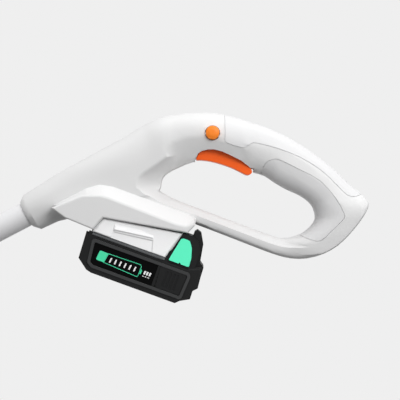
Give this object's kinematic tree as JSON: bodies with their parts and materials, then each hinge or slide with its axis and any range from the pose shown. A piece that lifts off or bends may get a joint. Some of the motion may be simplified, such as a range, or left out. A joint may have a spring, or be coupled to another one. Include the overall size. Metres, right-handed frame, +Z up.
{
  "type": "cordless hedge trimmer",
  "caption": "Long-reach battery hedge trimmer: D handle with trigger, slide-on battery, pole and tilting head with two reciprocating toothed blades.",
  "frame": {"origin": "centre of the battery pack's flat base", "axes": "+X towards the rear of the handle, +Z up, Y across; the pole slopes down towards -X and the battery's base faces down and a little towards -X"},
  "size_m": [1.2506, 0.068, 0.606],
  "materials": {
    "white": "fine satin moulded shell",
    "pale": "fine satin, a shade greyer",
    "orange": "satin",
    "black": "satin with fine texture",
    "label": "gloss panel",
    "mint": "satin",
    "foam": "closed-cell foam",
    "cable": "matt",
    "pole": "pale silver lacquer on aluminium",
    "steel": "ground",
    "motor": "plated can",
    "brass": "plated",
    "board": "glass-fibre board",
    "cell": "shrink sleeve"
  },
  "bodies": {
    "handle": {"housing_left": "white", "housing_right": "white", "top_cover": "pale", "grip_insert": "pale", "housing_screw_1": "steel", "housing_screw_2": "steel", "housing_screw_3": "steel", "housing_screw_4": "steel", "housing_screw_5": "steel", "trigger_pin": "steel", "trigger_spring": "steel", "micro_switch": "black", "terminal_block": "black", "contact_plus": "brass", "contact_data": "brass", "contact_minus": "brass", "pole_tube": "pole", "foam_grip": "foam", "motor_cable": "cable", "knuckle": "white"},
    "trigger": {"trigger": "orange"},
    "lock_off": {"lock_off_button": "orange", "lock_off_spring": "steel"},
    "battery": {"battery_lower_shell": "black", "battery_upper_shell": "pale", "battery_label_left": "label", "battery_label_right": "label", "release_spring_left": "steel", "release_spring_right": "steel", "battery_board": "board", "cell_1": "cell", "cell_2": "cell", "cell_3": "cell", "cell_4": "cell", "cell_5": "cell", "cell_6": "cell"},
    "release_left": {"release_button_left": "mint"},
    "release_right": {"release_button_right": "mint"},
    "head": {"head_housing_left": "white", "head_housing_right": "white", "head_screw_1": "steel", "head_screw_2": "steel", "head_base_cover": "white", "base_screw_1": "steel", "base_screw_2": "steel", "head_pivot_bolt": "steel", "motor_can": "motor", "gear_axle": "steel", "blade_bar": "steel", "tip_guard": "orange", "blade_bolt_1": "steel", "blade_bolt_2": "steel", "blade_bolt_3": "steel", "blade_bolt_4": "steel"},
    "tilt_lock": {"tilt_lock_button": "orange"},
    "pinion": {"motor_pinion": "steel"},
    "gear": {"drive_gear": "steel"},
    "upper_cutter": {"upper_blade": "steel"},
    "lower_cutter": {"lower_blade": "steel"}
  },
  "joints": [
    {"name": "trigger_pull", "type": "hinge", "parent": "handle", "child": "trigger", "pos_m": [0.063, 0, 0.1225], "axis": [0, -1, 0], "range_deg": [0, 9], "stiffness_Nm_per_rad": 0.6, "springref_deg": -2.86, "deforming": ["trigger_spring"]},
    {"name": "lock_off_slide", "type": "slide", "parent": "handle", "child": "lock_off", "axis": [0, 1, 0], "range_m": [-0.002, 0.002], "stiffness_N_per_m": 400},
    {"name": "battery_slide", "type": "slide", "parent": "handle", "child": "battery", "axis": [0.9397, 0, -0.342], "range_m": [0, 0.12]},
    {"name": "release_left_press", "type": "slide", "parent": "battery", "child": "release_left", "axis": [0, 1, 0], "range_m": [0, 0.0025], "stiffness_N_per_m": 400, "deforming": ["release_spring_left"]},
    {"name": "release_right_press", "type": "slide", "parent": "battery", "child": "release_right", "axis": [0, -1, 0], "range_m": [0, 0.0025], "stiffness_N_per_m": 400, "deforming": ["release_spring_right"]},
    {"name": "head_tilt", "type": "hinge", "parent": "handle", "child": "head", "pos_m": [-0.63655, 0, -0.21919], "axis": [0, 1, 0], "range_deg": [-75, 45]},
    {"name": "tilt_lock_press", "type": "slide", "parent": "handle", "child": "tilt_lock", "axis": [0, 1, 0], "range_m": [0, 0.004], "stiffness_N_per_m": 400},
    {"name": "gear_spin", "type": "hinge", "parent": "head", "child": "gear", "pos_m": [-0.7005, 0, -0.25248], "axis": [-0.4617, 0, 0.887], "continuous": true},
    {"name": "motor_spin", "type": "hinge", "parent": "head", "child": "pinion", "pos_m": [-0.67469, 0, -0.23905], "axis": [-0.4617, 0, 0.887], "continuous": true},
    {"name": "upper_blade_stroke", "type": "slide", "parent": "head", "child": "upper_cutter", "axis": [-0.887, 0, -0.4617], "range_m": [-0.006, 0.006]},
    {"name": "lower_blade_stroke", "type": "slide", "parent": "head", "child": "lower_cutter", "axis": [-0.887, 0, -0.4617], "range_m": [-0.006, 0.006]}
  ],
  "couplings": [
    {"joint": "motor_spin", "follows": "gear_spin", "ratio": -4.8},
    {"joint": "lower_blade_stroke", "follows": "upper_blade_stroke", "ratio": -1}
  ]
}
